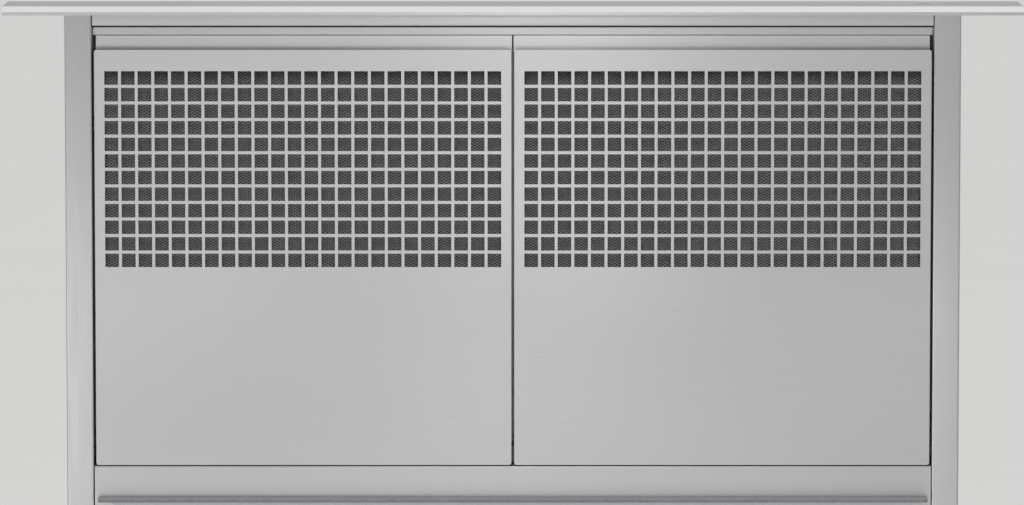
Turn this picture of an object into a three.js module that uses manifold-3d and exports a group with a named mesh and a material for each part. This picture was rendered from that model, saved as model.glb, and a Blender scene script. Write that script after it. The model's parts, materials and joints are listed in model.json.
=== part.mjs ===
// A pop-up downdraft vent for the back of a kitchen counter, raised to its full height.
//
// A thin sheet-metal chassis hangs in the cabinet below the counter. A flat steel column slides up out of it,
// carried by a nut on each of two lead screws, which one gearmotor turns through toothed belts. The column's
// front is two perforated covers with a grease filter behind each. Below the counter a scroll blower on the
// front of the chassis draws the air down the column and blows it out through a round duct collar.
//
// Millimetres, +Z up, -Y towards the cook. The pieces are placed in the counter frame: z = 0 is the counter's
// top and y = 0 is the middle of the column's depth. The exported group moves that frame so that its own
// origin lies under the middle of the appliance, on the cabinet floor.
import * as THREE from "three";
import { mergeVertices } from "three/addons/utils/BufferGeometryUtils.js";
import Module from "manifold-3d";

const wasm = await Module();
wasm.setup();

// ---------------------------------------------------------------- driving dimensions

const seam = 0.3; // gap between pieces that are screwed or welded face to face
const sheet = 1.2; // stainless and galvanised sheet
const bendRadius = 1.4; // outside radius of a fold that shows

// column, the part that rises out of the counter
const columnWidth = 670.4;
const columnDepth = 44.5;
const columnShown = 366.6; // counter to the underside of the cap, raised
const columnTail = 75; // length that stays in the chassis when raised
const postWidth = 20.4;

// cap
const capEndOverhang = 45.8; // beyond the column at each end
const capOverhang = 11; // front and back
const capSkirt = 2.5; // upright part of the cap's edge
const capBevel = 4.1; // bevel above it
const capReturn = 8; // edge folded in underneath

// front frame and covers
const topRailHeight = 8.7;
const fingerGap = 17.8; // slot between the top rail and the covers' top edges
const coverHeight = 312.8;
const coverSideGap = 1.7; // between a cover and its post
const coverMiddleGap = 2.2; // between the covers
const coverBottomGap = 0.6;
const coverFlange = 12; // depth of the flanges folded back along the sides
const coverCorner = 1.5;
const pullSheet = 1; // folded strip that a finger pulls
const pullLedge = 9; // how far back the strip's upstand lies
const pullUpstand = 10.3; // above the cover's top edge
const pullChannel = 7; // depth of the finger channel behind the edge
const pullLeg = 13; // leg behind the cover's sheet
const pullEndGap = 0.7; // how much a pull falls short of its cover at the outer end
const pullMiddleGap = 1; // between the two pulls

// perforation: square holes in a square grid
const holeRows = 12;
const holeSize = 10.2;
const holePitch = 12.46;
const gridTopMargin = 15.9;
const gridSideMargin = 7; // least solid border beside the holes

// filter cartridge behind the perforation
const filterDepth = 9;
const filterRim = 5.5; // width of the frame's lips
const filterSkin = 0.8; // sheet of the frame
const filterOverlap = 1; // how far the frame's lips stay above and below the holes
const filterSideGap = 0.2; // between the frame and the cover's flanges

// hinge rod that the covers hook onto
const rodRadius = 2;
const rodHeight = 16; // above the covers' lower edge
const rodClearance = 0.3;

// chassis below the counter
const chassisHeight = 660;
const columnClearance = 3; // between the column and the chassis, front and back
const driveSpace = 22; // beside the column, for its guide and screw
const chassisDrop = 20; // its upper edge lies this far below the counter's top
const flangeLength = 600; // flanges that hook over the counter, front and back
const flangeDepth = 7.7;
const wiperLength = 624; // grey strip that covers the front flange
const wiperSheet = 1.6;
const wiperGroove = 0.6; // depth of the groove along its edge
const legClearance = 50; // cabinet floor to the underside of the chassis
const legOverlap = 100; // how far the floor brackets reach up beside the chassis
const legWidth = 44;
const legSheet = 2.5;
const footFront = 150; // from the column's middle to the toe and to the heel
const footBack = 30;
const footWidth = 26;
const slotWidth = 7;
const slotLength = 47;
const slotSpacing = 24;

// lift drive
const screwRadius = 6;
const screwBack = 12; // the screws stand this far behind the column's middle
const nutRadius = 7.6;
const nutHeight = 20;
const nutFlangeRadius = 10.2;
const nutFlange = 5;
const runningGap = 0.3; // around screws, shafts and nuts
const pulleyRadius = 9;
const pulleyRim = 1.3;
const pulleyHeight = 12;
const beltWidth = 9;
const beltThickness = 1.2;
const bearingHeight = 14;
const motorRadius = 18;
const motorHeight = 108;
const beltCentres = 106.2; // from the right screw's axis to the motor's, across
const motorBack = 5;

// blower on the front of the chassis
const blowerX = 60;
const blowerRise = 170; // wheel's axis above the underside of the chassis
const wheelRadius = 88;
const wheelWidth = 118;
const bladeCount = 26;
const bladeDepth = 16;
const bladeSheet = 1.2;
const scrollStart = 103; // radius of the scroll at its tongue
const scrollEnd = 148; // and after three quarters of a turn
const scrollDepth = 160;
const scrollNeck = 150; // axis to the outlet's plane
const inletRadius = 72;
const ductRadius = 75; // inside the collar
const ductLength = 120;
const damperInset = 80; // from the collar's end to the damper's axle
const ductSheet = 1;
const damperGap = 1.5;
const damperOffset = 6; // axle above the middle, so that the disc hangs shut

// controls in the cap
const buttonRadius = 6;
const buttonTravel = 0.8;
const boardMargin = 8;
const buttonSpacing = 22;
const buttonInset = 51; // from the cap's end to the nearer button
const boardSheet = 1.2;

// ---------------------------------------------------------------- places that follow from them

const frontFace = -columnDepth / 2;
const backFace = columnDepth / 2;
const columnSide = columnWidth / 2;
const postInner = columnSide - postWidth;
const capWidth = columnWidth + 2 * capEndOverhang;
const capHeight = capSkirt + capBevel;
const capTop = columnShown + capHeight;
const capFront = frontFace - capOverhang;
const capBack = backFace + capOverhang;
const coverTop = columnShown - topRailHeight - fingerGap;
const coverBottom = coverTop - coverHeight;
const coverWidth = (2 * postInner - 2 * coverSideGap - coverMiddleGap) / 2;
const coverCentre = (coverWidth + coverMiddleGap) / 2;
const holeColumns = Math.floor((coverWidth - 2 * gridSideMargin - holeSize) / holePitch) + 1;
const gridWidth = (holeColumns - 1) * holePitch + holeSize;
const gridHeight = (holeRows - 1) * holePitch + holeSize;
const railTop = coverBottom - coverBottomGap;
const rodY = frontFace + sheet + rodClearance + rodRadius;
const rodZ = coverBottom + rodHeight;
const chassisInner = columnDepth / 2 + columnClearance; // half the depth inside
const chassisOuter = chassisInner + sheet;
const chassisSide = columnSide + driveSpace; // half the width inside
const screwX = columnSide + driveSpace / 2;
const motorX = screwX - beltCentres;
const crossbarTop = -columnTail - seam;
const floorLevel = -chassisHeight - legClearance;
const panTop = -chassisHeight + 2 * sheet + seam;
const blowerBack = -chassisOuter - seam; // plane of the blower's back plate
const blowerY = blowerBack - scrollDepth / 2;
const blowerZ = -chassisHeight + blowerRise;
const outletX = blowerX - scrollNeck;
const outletZ = blowerZ - scrollEnd / 2;

// ---------------------------------------------------------------- finishes

const finish = (color, roughness, metalness) =>
  new THREE.MeshStandardMaterial({ color, roughness, metalness });
const stainless = finish(0xb9b9bb, 0.34, 1);
const galvanised = finish(0xa9adb0, 0.5, 0.9);
const aluminium = finish(0x9a9c9e, 0.45, 0.9);
const steel = finish(0x8d9093, 0.3, 1);
const brass = finish(0xb5904d, 0.35, 1);
const greyRubber = finish(0x6b6b6d, 0.7, 0);
const blackRubber = finish(0x1d1d1f, 0.8, 0);
const blackPlastic = finish(0x232426, 0.55, 0);
const whiteNylon = finish(0xe4e2da, 0.5, 0);
const greenBoard = finish(0x2c5a3c, 0.5, 0);
const motorPaint = finish(0x3a3c40, 0.45, 0.4);

// ---------------------------------------------------------------- shape helpers

// A closed geometry as a solid that can be joined and cut.
function solidOf(geometry) {
  const bare = geometry.clone();
  for (const name of ["normal", "uv"]) bare.deleteAttribute(name);
  const merged = mergeVertices(bare, 1e-4);
  const mesh = new wasm.Mesh({
    numProp: 3,
    vertProperties: new Float32Array(merged.attributes.position.array),
    triVerts: new Uint32Array(merged.index.array),
  });
  mesh.merge();
  return new wasm.Manifold(mesh);
}

function geometryOf(solid) {
  const mesh = solid.getMesh();
  const geometry = new THREE.BufferGeometry();
  geometry.setAttribute("position", new THREE.BufferAttribute(mesh.vertProperties, 3));
  geometry.setIndex(new THREE.BufferAttribute(mesh.triVerts, 1));
  return geometry;
}

function join(...geometries) {
  return geometryOf(geometries.map(solidOf).reduce((a, b) => a.add(b)));
}

function cut(geometry, ...tools) {
  return geometryOf(tools.map(solidOf).reduce((a, b) => a.subtract(b), solidOf(geometry)));
}

// A block between two corners, given as ranges along x, y and z.
function block([x0, x1], [y0, y1], [z0, z1]) {
  const geometry = new THREE.BoxGeometry(x1 - x0, y1 - y0, z1 - z0);
  return geometry.translate((x0 + x1) / 2, (y0 + y1) / 2, (z0 + z1) / 2);
}

function outline(points) {
  return new THREE.Shape(points.map(([u, v]) => new THREE.Vector2(u, v)));
}

const flat = (depth) => ({ depth, bevelEnabled: false, curveSegments: 6 });

// A shape drawn in (y, z), stretched along x.
function alongX(shape, [x0, x1]) {
  const geometry = new THREE.ExtrudeGeometry(shape, flat(x1 - x0));
  const turn = new THREE.Matrix4().makeBasis(
    new THREE.Vector3(0, 1, 0),
    new THREE.Vector3(0, 0, 1),
    new THREE.Vector3(1, 0, 0),
  );
  return geometry.applyMatrix4(turn).translate(x0, 0, 0);
}

// A shape drawn in (x, z), stretched along y.
function alongY(shape, [y0, y1]) {
  const geometry = new THREE.ExtrudeGeometry(shape, flat(y1 - y0));
  return geometry.rotateX(Math.PI / 2).translate(0, y1, 0);
}

// A shape drawn in (x, y), stretched along z.
function alongZ(shape, [z0, z1]) {
  return new THREE.ExtrudeGeometry(shape, flat(z1 - z0)).translate(0, 0, z0);
}

// An upright round bar, or one along x or y.
function bar(radius, [z0, z1], x, y, sides = 16) {
  const geometry = new THREE.CylinderGeometry(radius, radius, z1 - z0, sides);
  return geometry.rotateX(Math.PI / 2).translate(x, y, (z0 + z1) / 2);
}

function barX(radius, [x0, x1], y, z, sides = 16) {
  const geometry = new THREE.CylinderGeometry(radius, radius, x1 - x0, sides);
  return geometry.rotateZ(Math.PI / 2).translate((x0 + x1) / 2, y, z);
}

function barY(radius, [y0, y1], x, z, sides = 24) {
  const geometry = new THREE.CylinderGeometry(radius, radius, y1 - y0, sides);
  return geometry.translate(x, (y0 + y1) / 2, z);
}

// The same path with each inner corner turned into a short arc.
function rounded(path, radius, steps = 2) {
  const out = [path[0]];
  for (let i = 1; i < path.length - 1; i++) {
    const corner = new THREE.Vector2(...path[i]);
    const into = new THREE.Vector2(...path[i - 1]).sub(corner).normalize();
    const away = new THREE.Vector2(...path[i + 1]).sub(corner).normalize();
    const half = Math.acos(THREE.MathUtils.clamp(into.dot(away), -1, 1)) / 2;
    const back = radius / Math.tan(half);
    const centre = corner.clone().add(into.clone().add(away).setLength(radius / Math.sin(half)));
    const from = corner.clone().addScaledVector(into, back).sub(centre).angle();
    const to = corner.clone().addScaledVector(away, back).sub(centre).angle();
    const sweep = THREE.MathUtils.euclideanModulo(to - from + Math.PI, 2 * Math.PI) - Math.PI;
    for (let s = 0; s <= steps; s++) {
      const a = from + (sweep * s) / steps;
      out.push([centre.x + radius * Math.cos(a), centre.y + radius * Math.sin(a)]);
    }
  }
  return [...out, path.at(-1)];
}

// A path moved sideways, to the right of its own direction.
function inset(path, distance) {
  return path.map(([u, v], i) => {
    const before = path[Math.max(i - 1, 0)];
    const after = path[Math.min(i + 1, path.length - 1)];
    const into = new THREE.Vector2(u - before[0], v - before[1]).normalize();
    const away = new THREE.Vector2(after[0] - u, after[1] - v).normalize();
    const first = i === 0 ? away : into;
    const second = i === path.length - 1 ? into : away;
    const mitre = new THREE.Vector2(first.y + second.y, -first.x - second.x).normalize();
    const reach = distance / (mitre.x * first.y - mitre.y * first.x);
    return [u + mitre.x * reach, v + mitre.y * reach];
  });
}

// The section of a folded sheet: its outer face follows the path, and the sheet lies to the right of it.
function fold(path, thickness = sheet) {
  return outline([...path, ...inset(path, thickness).reverse()]);
}

const mirrored = (path) => path.map(([u, v]) => [-u, v]).reverse();

// The mirror image of a geometry across a plane through the origin, with its faces still turned outwards.
function mirror(geometry, axis) {
  const copy = geometry.index ? geometry.toNonIndexed() : geometry.clone();
  const scale = new THREE.Vector3(1, 1, 1).setComponent(axis, -1);
  copy.applyMatrix4(new THREE.Matrix4().makeScale(...scale));
  const p = copy.attributes.position;
  for (let i = 0; i < p.count; i += 3) {
    const second = new THREE.Vector3().fromBufferAttribute(p, i + 1);
    const third = new THREE.Vector3().fromBufferAttribute(p, i + 2);
    p.setXYZ(i + 1, ...third);
    p.setXYZ(i + 2, ...second);
  }
  copy.deleteAttribute("normal");
  return copy;
}

const mirrorX = (geometry) => mirror(geometry, 0);
const mirrorY = (geometry) => mirror(geometry, 1);

const vent = new THREE.Group();

function add(name, geometry, material) {
  const mesh = new THREE.Mesh(geometry, material);
  mesh.name = name;
  vent.add(mesh);
  return mesh;
}

// A piece on the right and its mirror image on the left.
function addPair(name, geometry, material) {
  add("right_" + name, geometry, material);
  add("left_" + name, mirrorX(geometry), material);
}

// ---------------------------------------------------------------- column: frame

// The posts are folded channels: an outer side, a front face with a return, and a back flange.
const postReturn = frontFace + 12;
const postPath = [
  [postInner, backFace],
  [columnSide, backFace],
  [columnSide, frontFace],
  [postInner, frontFace],
  [postInner, postReturn],
];
const postTop = columnShown - seam;
const rodHole = barX(rodRadius + rodClearance, [postInner - 1, postInner + 3], rodY, rodZ, 12);
addPair(
  "post",
  cut(alongZ(fold(mirrored(rounded(mirrored(postPath), bendRadius))), [-columnTail, postTop]), rodHole),
  stainless,
);

// Front rails between the posts: an angle under the cap and an apron below the covers.
const railFold = 10; // depth of their folded edges
const railSpan = [-postInner + seam, postInner - seam];
const topRailPath = [
  [frontFace + railFold, coverTop + fingerGap],
  [frontFace, coverTop + fingerGap],
  [frontFace, postTop],
];
add("top_rail", alongX(fold(rounded(topRailPath, bendRadius)), railSpan), stainless);

const apronPath = [
  [frontFace, -columnTail],
  [frontFace, railTop],
  [frontFace + railFold, railTop],
];
add("bottom_rail", alongX(fold(rounded(apronPath, bendRadius)), railSpan), stainless);

// The header is a narrow channel behind the finger slot, in one plane with the covers' upstands below it.
const headerSpan = columnSide - sheet - seam;
const headerFront = frontFace + sheet + pullLedge;
const headerBottom = coverTop + pullUpstand + seam;
const headerDrop = 1.4; // dark slot between it and the top rail
const headerTop = coverTop + fingerGap - headerDrop;
const headerFold = 12;
const headerPath = [
  [headerFront + headerFold, headerBottom],
  [headerFront, headerBottom],
  [headerFront, headerTop],
  [headerFront + headerFold, headerTop],
];
add("header", alongX(fold(headerPath), railSpan), stainless);

// Back sheet inside the posts' back flanges, stiffened by three pressed beads.
const backSheetFace = backFace - sheet - seam;
const beadDepth = 3;
const beadHalf = 8;
const beadHeights = [0.2, 0.5, 0.8].map((share) => THREE.MathUtils.lerp(-columnTail, postTop, share));
const backSheetPath = [[backSheetFace, postTop]];
for (const z of [...beadHeights].reverse()) {
  backSheetPath.push([backSheetFace, z + beadHalf]);
  backSheetPath.push([backSheetFace - beadDepth, z + beadHalf / 2]);
  backSheetPath.push([backSheetFace - beadDepth, z - beadHalf / 2]);
  backSheetPath.push([backSheetFace, z - beadHalf]);
}
backSheetPath.push([backSheetFace, -columnTail]);
add("column_back_sheet", alongX(fold(backSheetPath), [-headerSpan, headerSpan]), stainless);

// A channel up the middle closes the space between the two filters.
const mullionHalf = 10;
const mullionFront = 2;
const mullionBack = backSheetFace - sheet - beadDepth - seam;
const mullionPath = [
  [mullionHalf, mullionBack],
  [mullionHalf, mullionFront],
  [-mullionHalf, mullionFront],
  [-mullionHalf, mullionBack],
];
add("centre_mullion", alongZ(fold(mullionPath), [railTop - 20, headerBottom - seam]), galvanised);

// ---------------------------------------------------------------- column: cap

const capPath = [
  [capFront + capReturn, columnShown],
  [capFront, columnShown],
  [capFront, columnShown + capSkirt],
  [capFront + capBevel, capTop],
  [capBack - capBevel, capTop],
  [capBack, columnShown + capSkirt],
  [capBack, columnShown],
  [capBack - capReturn, columnShown],
];
const capBar = outline(capPath.slice(1, -1));
const capHollow = outline([
  ...inset(capPath, sheet),
  [capBack - capReturn, columnShown - 1],
  [capFront + capReturn, columnShown - 1],
]);
const halfCap = capWidth / 2;
const buttonPlaces = [halfCap - buttonInset - buttonSpacing, halfCap - buttonInset];
const buttonHoles = buttonPlaces.map((x) =>
  bar(buttonRadius + runningGap, [capTop - sheet - 1, capTop + 1], x, 0, 20),
);
add(
  "cap",
  cut(
    alongX(capBar, [-halfCap, halfCap]),
    alongX(capHollow, [-halfCap + sheet, halfCap - sheet]),
    ...buttonHoles,
  ),
  stainless,
);

// The plate under the cap closes its underside and ties the posts and rails together.
const plateEdge = capBack - capReturn - seam;
const plateEnd = halfCap - sheet - seam;
add(
  "cap_base_plate",
  block([-plateEnd, plateEnd], [-plateEdge, plateEdge], [columnShown, columnShown + sheet]),
  galvanised,
);

// Push buttons lie flush in the cap over a small circuit board.
const boardTop = columnShown + sheet + seam + boardSheet;
add(
  "control_board",
  block(
    [buttonPlaces[0] - buttonRadius - boardMargin, buttonPlaces[1] + buttonRadius + boardMargin],
    [-buttonRadius - boardMargin / 2, buttonRadius + boardMargin / 2],
    [columnShown + sheet + seam, boardTop],
  ),
  greenBoard,
);
const buttonHeights = [boardTop + buttonTravel + seam, capTop];
for (const [i, name] of ["fan_button", "lift_button"].entries())
  add(name, bar(buttonRadius, buttonHeights, buttonPlaces[i], 0, 20), blackPlastic);

// ---------------------------------------------------------------- covers and filters

// Square holes in a grid, centred across the cover.
function perforatedSheet(centre) {
  const left = centre - coverWidth / 2;
  const right = centre + coverWidth / 2;
  const ring = [
    [centre, coverBottom],
    [right, coverBottom],
    [right, coverTop],
    [left, coverTop],
    [left, coverBottom],
    [centre, coverBottom],
  ];
  const plate = alongY(outline(rounded(ring, coverCorner).slice(0, -1)), [frontFace, frontFace + sheet]);
  const firstX = centre - gridWidth / 2;
  const firstZ = coverTop - gridTopMargin - holeSize;
  const holes = [];
  for (let row = 0; row < holeRows; row++)
    for (let column = 0; column < holeColumns; column++) {
      const x = firstX + column * holePitch;
      const z = firstZ - row * holePitch;
      holes.push(block([x, x + holeSize], [frontFace - 1, frontFace + sheet + 1], [z, z + holeSize]));
    }
  return cut(plate, ...holes);
}

// A side flange ends in a notch that sits over the hinge rod.
function notchedFlange(x) {
  const back = frontFace + sheet + coverFlange;
  const notch = rodRadius + rodClearance;
  const shape = new THREE.Shape();
  shape.moveTo(frontFace + sheet / 2, coverTop - flangeTopDrop);
  shape.lineTo(frontFace + sheet / 2, rodZ + 0.1);
  shape.lineTo(rodY - notch, rodZ);
  shape.absarc(rodY, rodZ, notch, Math.PI, 0, true);
  shape.lineTo(rodY + notch, rodZ - rodRadius - 3);
  shape.lineTo(back, rodZ - rodRadius - 3);
  shape.lineTo(back, coverTop - flangeTopDrop);
  return alongX(shape, [x, x + sheet]);
}

// A strip folded behind the cover's top edge: a channel for the fingertips, and an upstand that closes the
// slot. Its ends are notched below the cover's edge, where the side flanges are.
const pullBack = frontFace + sheet + seam;
const pullPath = [
  [pullBack, coverTop - pullLeg],
  [pullBack, coverTop - pullChannel],
  [headerFront, coverTop - pullChannel],
  [headerFront, coverTop + pullUpstand],
];
const flangeTopDrop = 2; // the flanges start this far below the cover's edge
function pullStrip([from, to], [coverFrom, coverTo]) {
  const through = [pullBack - 1, headerFront + pullSheet + 1];
  const notch = (x0, x1) =>
    block([x0, x1], through, [coverTop - pullLeg - 1, coverTop - flangeTopDrop + seam]);
  return cut(
    alongX(fold(pullPath, pullSheet), [from, to]),
    notch(coverFrom - 1, coverFrom + sheet + seam),
    notch(coverTo - sheet - seam, coverTo + 1),
  );
}

// The filter is a channel frame round a pad of expanded aluminium mesh.
const filterFront = pullBack + pullSheet + seam;
const filterHalf = coverWidth / 2 - sheet - filterSideGap - filterRim;
const filterRange = (centre, grow) => [
  [centre - filterHalf - grow, centre + filterHalf + grow],
  [
    coverTop - gridTopMargin - gridHeight - filterOverlap - grow,
    coverTop - gridTopMargin + filterOverlap + grow,
  ],
];

function filterBox(centre, grow, front, back) {
  const [xs, zs] = filterRange(centre, grow);
  return block(xs, [filterFront + front, filterFront + filterDepth - back], zs);
}

// Tabs on the side flanges hold the filter from behind, and the lowest pair carries it.
const tabReach = 9;
const tabHeight = 14;
function filterTabs(x0, x1) {
  const [, [low, high]] = filterRange(0, filterRim);
  const behind = [filterFront + filterDepth + seam, filterFront + filterDepth + seam + sheet];
  return join(
    block([x0, x1], behind, [high - 10 - tabHeight, high - 10]),
    block([x0, x1], behind, [low + 10, low + 10 + tabHeight]),
    block([x0, x1], [filterFront, frontFace + sheet + coverFlange], [low - seam - sheet, low - seam]),
  );
}

const pullEnds = (from, to) =>
  from < 0 ? [from + pullEndGap, -pullMiddleGap / 2] : [pullMiddleGap / 2, to - pullEndGap];
for (const [side, centre] of [
  ["left", -coverCentre],
  ["right", coverCentre],
]) {
  const from = centre - coverWidth / 2;
  const to = centre + coverWidth / 2;
  add(
    side + "_cover",
    join(
      perforatedSheet(centre),
      notchedFlange(from),
      notchedFlange(to - sheet),
      filterTabs(from + sheet / 2, from + tabReach),
      filterTabs(to - tabReach, to - sheet / 2),
    ),
    stainless,
  );
  add(side + "_pull", pullStrip(pullEnds(from, to), [from, to]), stainless);
  add(
    side + "_filter_frame",
    cut(
      filterBox(centre, filterRim, 0, 0),
      filterBox(centre, filterRim - filterSkin, filterSkin, filterSkin),
      filterBox(centre, 0, -1, -1),
    ),
    aluminium,
  );
  add(
    side + "_filter_mesh",
    filterBox(centre, filterRim - filterSkin - seam, filterSkin + seam, filterSkin + seam),
    aluminium,
  );
}

// One magnetic strip hangs under the header, behind the covers' upstands at their inner ends.
const magnetHalf = 45;
const magnetDepth = 3;
const magnetFront = headerFront + pullSheet + seam;
add(
  "magnet_strip",
  block(
    [-magnetHalf, magnetHalf],
    [magnetFront, magnetFront + magnetDepth],
    [coverTop + 1, headerBottom - seam],
  ),
  blackPlastic,
);

add("cover_hinge_rod", barX(rodRadius, [-postInner - 2.5, postInner + 2.5], rodY, rodZ, 12), steel);

// ---------------------------------------------------------------- chassis

// The front and back panels hook over the counter with a flange each, are folded in at the bottom, and are
// stiffened by two pressed beads above the blower.
const flangeTop = sheet;
const chassisTop = -chassisDrop;
const chassisFoot = -chassisHeight;
const panelHalf = chassisSide + sheet - seam;
const panelFoot = 13;
const panelBeadDepth = 2.5;
const panelBeads = [-110, -210];
const panelPath = [
  [chassisInner - panelFoot, chassisFoot + sheet],
  [chassisInner, chassisFoot + sheet],
];
for (const z of [...panelBeads].reverse()) {
  panelPath.push([chassisInner, z - beadHalf]);
  panelPath.push([chassisInner + panelBeadDepth, z - beadHalf / 2]);
  panelPath.push([chassisInner + panelBeadDepth, z + beadHalf / 2]);
  panelPath.push([chassisInner, z + beadHalf]);
}
panelPath.push([chassisInner, flangeTop], [chassisInner + flangeDepth, flangeTop]);
const besideFlange = (x0, x1) =>
  block([x0, x1], [chassisInner - 1, chassisInner + flangeDepth + 1], [chassisTop, flangeTop + 1]);
const backPanel = cut(
  alongX(fold(panelPath), [-panelHalf, panelHalf]),
  besideFlange(-panelHalf - 1, -flangeLength / 2),
  besideFlange(flangeLength / 2, panelHalf + 1),
);
add("chassis_back_panel", backPanel, galvanised);
add(
  "chassis_front_panel",
  cut(
    mirrorY(backPanel),
    barY(inletRadius + 4, [-chassisOuter - 5, -chassisInner + 5], blowerX, blowerZ, 32),
  ),
  galvanised,
);

// The sides are channels that the front and back panels are screwed to.
const sideLip = chassisInner - seam;
const sidePath = [
  [chassisSide - 10, sideLip],
  [chassisSide + sheet, sideLip],
  [chassisSide + sheet, -sideLip],
  [chassisSide - 10, -sideLip],
];
addPair("chassis_side", alongZ(fold(sidePath), [chassisFoot + 2 * sheet, chassisTop]), galvanised);

// Floor pan that carries the lower bearings.
add(
  "chassis_bottom_pan",
  block(
    [-chassisSide + seam, chassisSide - seam],
    [-sideLip + sheet + seam, sideLip - sheet - seam],
    [panTop - sheet, panTop],
  ),
  galvanised,
);

// Wiper that closes the slot in front of the column: a strip with round ends, grooved along its edge, and
// with a skirt over the flange's edge.
const wiperTop = flangeTop + seam + wiperSheet;
const wiperBack = frontFace - seam;
const wiperFront = -chassisInner - flangeDepth - seam - wiperSheet;
const wiperRadius = (wiperBack - wiperFront) / 2;
const wiperMiddle = (wiperBack + wiperFront) / 2;
const wiperHalf = wiperLength / 2 - wiperRadius;
function wiperLayer(shrink, heights) {
  const shape = new THREE.Shape();
  const radius = wiperRadius - shrink;
  shape.absarc(wiperHalf, wiperMiddle, radius, -Math.PI / 2, Math.PI / 2, false);
  shape.absarc(-wiperHalf, wiperMiddle, radius, Math.PI / 2, (3 * Math.PI) / 2, false);
  return alongZ(shape, heights);
}
const wiperFoot = 0.7; // height of the rib below the groove
const wiperBead = 0.8; // and of the bead above it
const grooveHeights = [seam + wiperFoot, wiperTop - wiperBead];
add(
  "front_wiper_strip",
  cut(
    join(
      wiperLayer(0, [seam, grooveHeights[0]]),
      wiperLayer(wiperGroove, [grooveHeights[0] - 0.1, grooveHeights[1] + 0.1]),
      wiperLayer(0, [grooveHeights[1], wiperTop]),
    ),
    block(
      [-flangeLength / 2 - seam, flangeLength / 2 + seam],
      [-chassisInner - flangeDepth - seam, frontFace],
      [0, flangeTop + seam],
    ),
  ),
  greyRubber,
);

// Floor brackets: an upright leg with two slots, and a long foot.
const legInner = chassisSide + sheet + seam;
const legOuter = legInner + legSheet;
const slotMiddle = chassisFoot + legOverlap / 2;
function legSlot(y) {
  const half = (slotLength - slotWidth) / 2;
  const shape = new THREE.Shape();
  shape.absarc(y, slotMiddle + half, slotWidth / 2, 0, Math.PI, false);
  shape.absarc(y, slotMiddle - half, slotWidth / 2, Math.PI, 2 * Math.PI, false);
  return alongX(shape, [legInner - 1, legOuter + 1]);
}
addPair(
  "floor_bracket",
  cut(
    join(
      block([legInner, legOuter], [-legWidth / 2, legWidth / 2], [floorLevel, chassisFoot + legOverlap]),
      block([legOuter - footWidth, legOuter], [-footFront, footBack], [floorLevel, floorLevel + legSheet]),
    ),
    legSlot(-slotSpacing / 2),
    legSlot(slotSpacing / 2),
  ),
  galvanised,
);

// ---------------------------------------------------------------- guides

const guideSize = 14;
const guideY = -12;
const guideSlot = 5;
const guideSheet = 1.5;
const guideOuter = chassisSide - seam;
const guideInner = guideOuter - guideSize;
const guidePath = [
  [guideInner, guideY - guideSlot / 2],
  [guideInner, guideY - guideSize / 2],
  [guideOuter, guideY - guideSize / 2],
  [guideOuter, guideY + guideSize / 2],
  [guideInner, guideY + guideSize / 2],
  [guideInner, guideY + guideSlot / 2],
];
addPair(
  "guide_rail",
  alongZ(fold([...guidePath].reverse(), guideSheet), [panTop + seam, chassisTop - 2]),
  steel,
);

// A T-shaped nylon shoe on each post runs in the rail.
const shoeClearance = 0.6; // inside the rail
const shoePlate = columnSide + seam + 3.5; // the shoe's flat foot, on the post
const shoePlateHalf = 8;
const shoeLength = 60;
const shoeHeadHalf = guideSize / 2 - guideSheet - shoeClearance;
const shoeNeckHalf = guideSlot / 2 - 0.5;
const shoeHead = [guideInner + guideSheet + shoeClearance, guideOuter - guideSheet - shoeClearance];
const shoePath = [
  [columnSide + seam, guideY - shoePlateHalf],
  [shoePlate, guideY - shoePlateHalf],
  [shoePlate, guideY - shoeNeckHalf],
  [shoeHead[0], guideY - shoeNeckHalf],
  [shoeHead[0], guideY - shoeHeadHalf],
  [shoeHead[1], guideY - shoeHeadHalf],
  [shoeHead[1], guideY + shoeHeadHalf],
  [shoeHead[0], guideY + shoeHeadHalf],
  [shoeHead[0], guideY + shoeNeckHalf],
  [shoePlate, guideY + shoeNeckHalf],
  [shoePlate, guideY + shoePlateHalf],
  [columnSide + seam, guideY + shoePlateHalf],
];
const shoeFoot = -columnTail + 2;
addPair("slide_shoe", alongZ(outline(shoePath), [shoeFoot, shoeFoot + shoeLength]), whiteNylon);

// ---------------------------------------------------------------- lift drive

// Crossbar under the column: an angle, wide at its ends where the nuts sit and narrow between for the air.
const crossbarSheet = 2;
const crossbarHalfDepth = 10;
const crossbarLip = 14;
const crossbarShoulder = 20; // length over which it narrows
const crossbarEnd = chassisSide - 0.8;
const crossbarWaist = postInner - 15;
const crossbarFront = screwBack - crossbarHalfDepth;
const crossbarBack = screwBack + crossbarHalfDepth;
const crossbarBottom = crossbarTop - crossbarSheet;
const crossbarPlan = outline([
  [-crossbarEnd, crossbarFront],
  [-crossbarWaist - crossbarShoulder, crossbarFront],
  [-crossbarWaist, screwBack],
  [crossbarWaist, screwBack],
  [crossbarWaist + crossbarShoulder, crossbarFront],
  [crossbarEnd, crossbarFront],
  [crossbarEnd, crossbarBack],
  [-crossbarEnd, crossbarBack],
]);
const nutHoles = [-screwX, screwX].map((x) =>
  bar(nutRadius + seam, [crossbarBottom - 1, crossbarTop + 1], x, screwBack),
);
add(
  "lift_crossbar",
  cut(
    join(
      alongZ(crossbarPlan, [crossbarBottom, crossbarTop]),
      block(
        [-crossbarWaist, crossbarWaist],
        [crossbarBack - crossbarSheet, crossbarBack],
        [crossbarTop - crossbarLip, crossbarTop],
      ),
    ),
    ...nutHoles,
  ),
  galvanised,
);

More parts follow.
